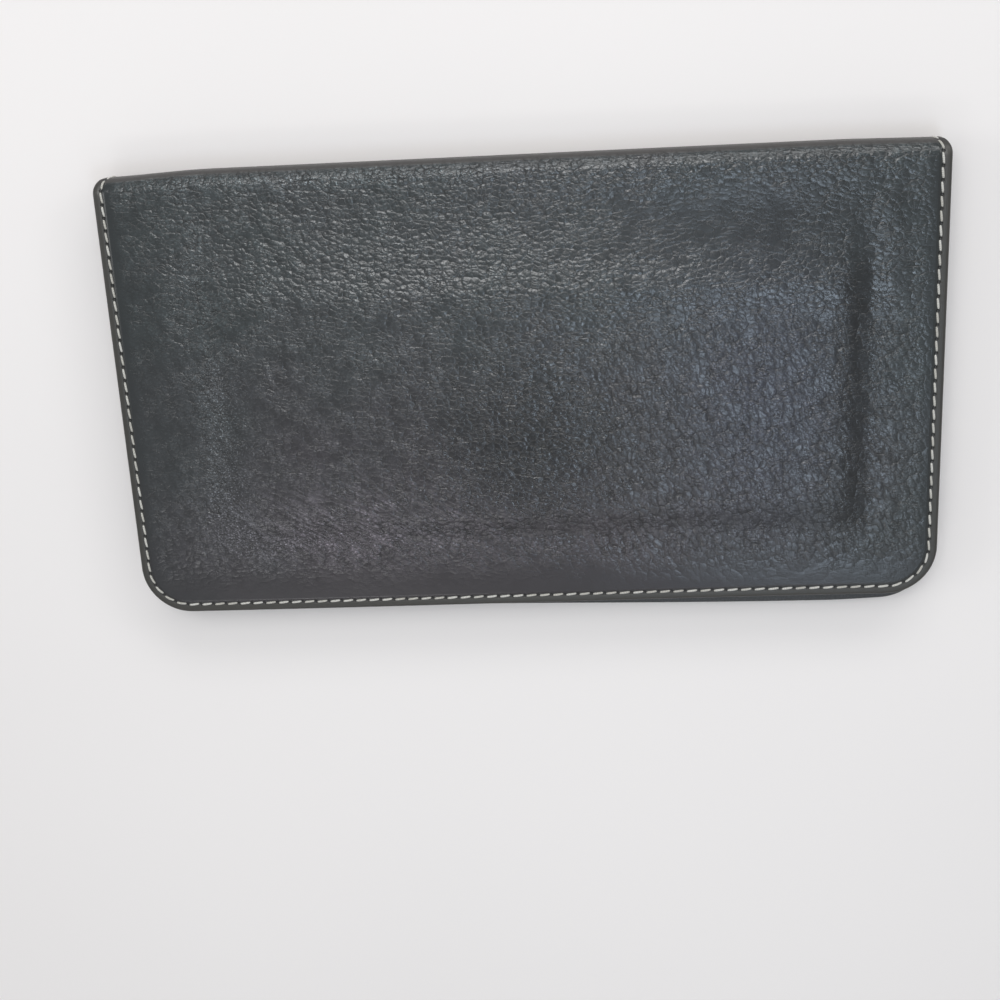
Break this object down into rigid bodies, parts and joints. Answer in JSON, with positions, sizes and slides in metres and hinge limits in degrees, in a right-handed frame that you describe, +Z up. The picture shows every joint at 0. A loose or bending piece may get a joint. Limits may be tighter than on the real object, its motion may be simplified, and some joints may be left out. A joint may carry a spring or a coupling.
{
  "type": "long bifold wallet",
  "caption": "Long bifold wallet of pebbled leather. Two stitched halves fold together along a soft spine, with stepped card slots, note compartments and a full-width pocket inside.",
  "frame": {"origin": "under the middle of the closed wallet, on the surface that it lies on", "axes": "+X along the fold, to the right as seen from the open edge; +Y from the open edge to the fold; +Z up, from the back cover to the front cover"},
  "size_m": [0.19, 0.1082, 0.0131],
  "materials": {
    "cover_leather": "satin pebbled grain",
    "pocket_leather": "fine matt grain",
    "lining_cloth": "plain weave",
    "stiffening_board": "raw board",
    "cream_thread": "waxed twisted thread"
  },
  "bodies": {
    "back_half": {"back_cover": "cover_leather", "back_board": "stiffening_board", "back_lining": "lining_cloth", "slip_panel": "pocket_leather", "cheque_pocket": "pocket_leather", "back_inner_seam": "cream_thread", "back_outer_seam": "cream_thread"},
    "spine": {"spine_cover": "cover_leather", "spine_lining": "lining_cloth", "spine_seam_left": "cream_thread", "spine_seam_right": "cream_thread"},
    "front_half": {"front_cover": "cover_leather", "front_board": "stiffening_board", "front_lining": "lining_cloth", "card_panel": "pocket_leather", "card_tier_1": "pocket_leather", "card_tier_2": "pocket_leather", "card_tier_3": "pocket_leather", "card_tier_4": "pocket_leather", "card_divider_seam": "cream_thread", "front_inner_seam": "cream_thread", "front_outer_seam": "cream_thread"}
  },
  "joints": [
    {"name": "spine_bend", "type": "hinge", "parent": "back_half", "child": "spine", "pos_m": [0, 0.05272, 0.00155], "axis": [-1, 0, 0], "range_deg": [0, 90]},
    {"name": "cover_bend", "type": "hinge", "parent": "spine", "child": "front_half", "pos_m": [0, 0.05272, 0.01105], "axis": [-1, 0, 0], "range_deg": [0, 90]}
  ],
  "couplings": [
    {"joint": "cover_bend", "follows": "spine_bend", "ratio": 1}
  ]
}
